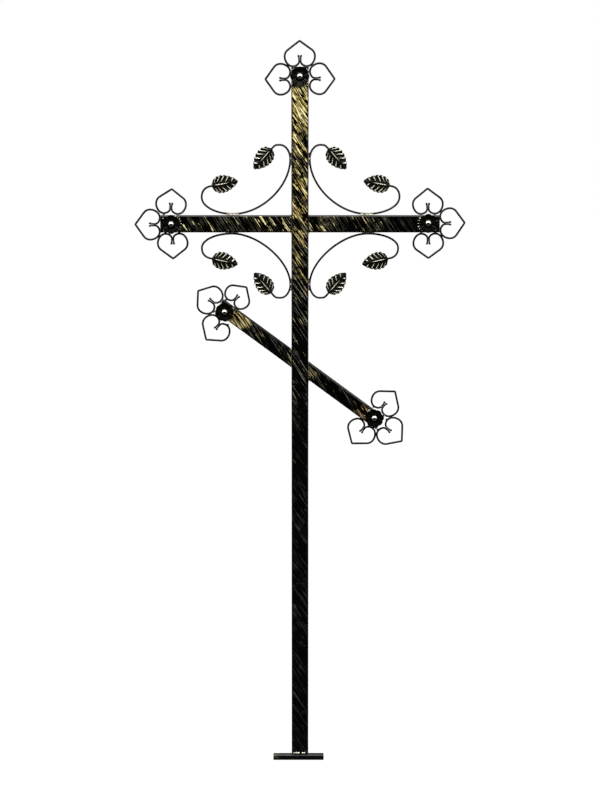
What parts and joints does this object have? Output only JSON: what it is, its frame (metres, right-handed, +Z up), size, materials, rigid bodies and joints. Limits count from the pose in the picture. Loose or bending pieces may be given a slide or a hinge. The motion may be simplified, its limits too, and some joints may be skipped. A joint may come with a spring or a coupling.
{
  "type": "wrought iron grave cross",
  "caption": "Grave cross of square steel tube with a slanted lower bar, bent wire hearts and scrolls, leaves and rosettes, set in the ground.",
  "frame": {"origin": "middle of the upright's lower end face", "axes": "+Z up the upright, +X to the viewer's right along the crossbar, +Y towards the back; the front faces -Y"},
  "size_m": [0.9611, 0.0703, 2.1286],
  "materials": {
    "gold_brushed_enamel": "glossy black enamel with slanting strokes of pale gold",
    "black_enamel": "glossy black enamel",
    "wire_enamel": "satin black enamel",
    "leaf_enamel": "black enamel rubbed with silver gold in the grooves",
    "rosette_enamel": "glossy black enamel"
  },
  "bodies": {
    "root": {"upright": "gold_brushed_enamel", "left_arm": "gold_brushed_enamel", "right_arm": "gold_brushed_enamel", "slanted_arm_upper": "gold_brushed_enamel", "slanted_arm_lower": "gold_brushed_enamel", "foot_bar": "black_enamel", "heart_top_end": "wire_enamel", "heart_top_left": "wire_enamel", "heart_top_right": "wire_enamel", "heart_left_end": "wire_enamel", "heart_left_lower": "wire_enamel", "heart_left_upper": "wire_enamel", "heart_right_end": "wire_enamel", "heart_right_upper": "wire_enamel", "heart_right_lower": "wire_enamel", "heart_slanted_upper_end": "wire_enamel", "heart_slanted_upper_below": "wire_enamel", "heart_slanted_upper_above": "wire_enamel", "heart_slanted_lower_end": "wire_enamel", "heart_slanted_lower_above": "wire_enamel", "heart_slanted_lower_below": "wire_enamel", "scroll_upper_left": "wire_enamel", "scroll_upper_right": "wire_enamel", "scroll_lower_left": "wire_enamel", "scroll_lower_right": "wire_enamel", "leaf_upper_left_inner": "leaf_enamel", "leaf_upper_left_outer": "leaf_enamel", "leaf_upper_right_inner": "leaf_enamel", "leaf_upper_right_outer": "leaf_enamel", "leaf_lower_left_inner": "leaf_enamel", "leaf_lower_left_outer": "leaf_enamel", "leaf_lower_right_inner": "leaf_enamel", "leaf_lower_right_outer": "leaf_enamel", "rosette_top": "rosette_enamel", "rosette_left": "rosette_enamel", "rosette_right": "rosette_enamel", "rosette_slanted_upper": "rosette_enamel", "rosette_slanted_lower": "rosette_enamel"}
  },
  "joints": []
}
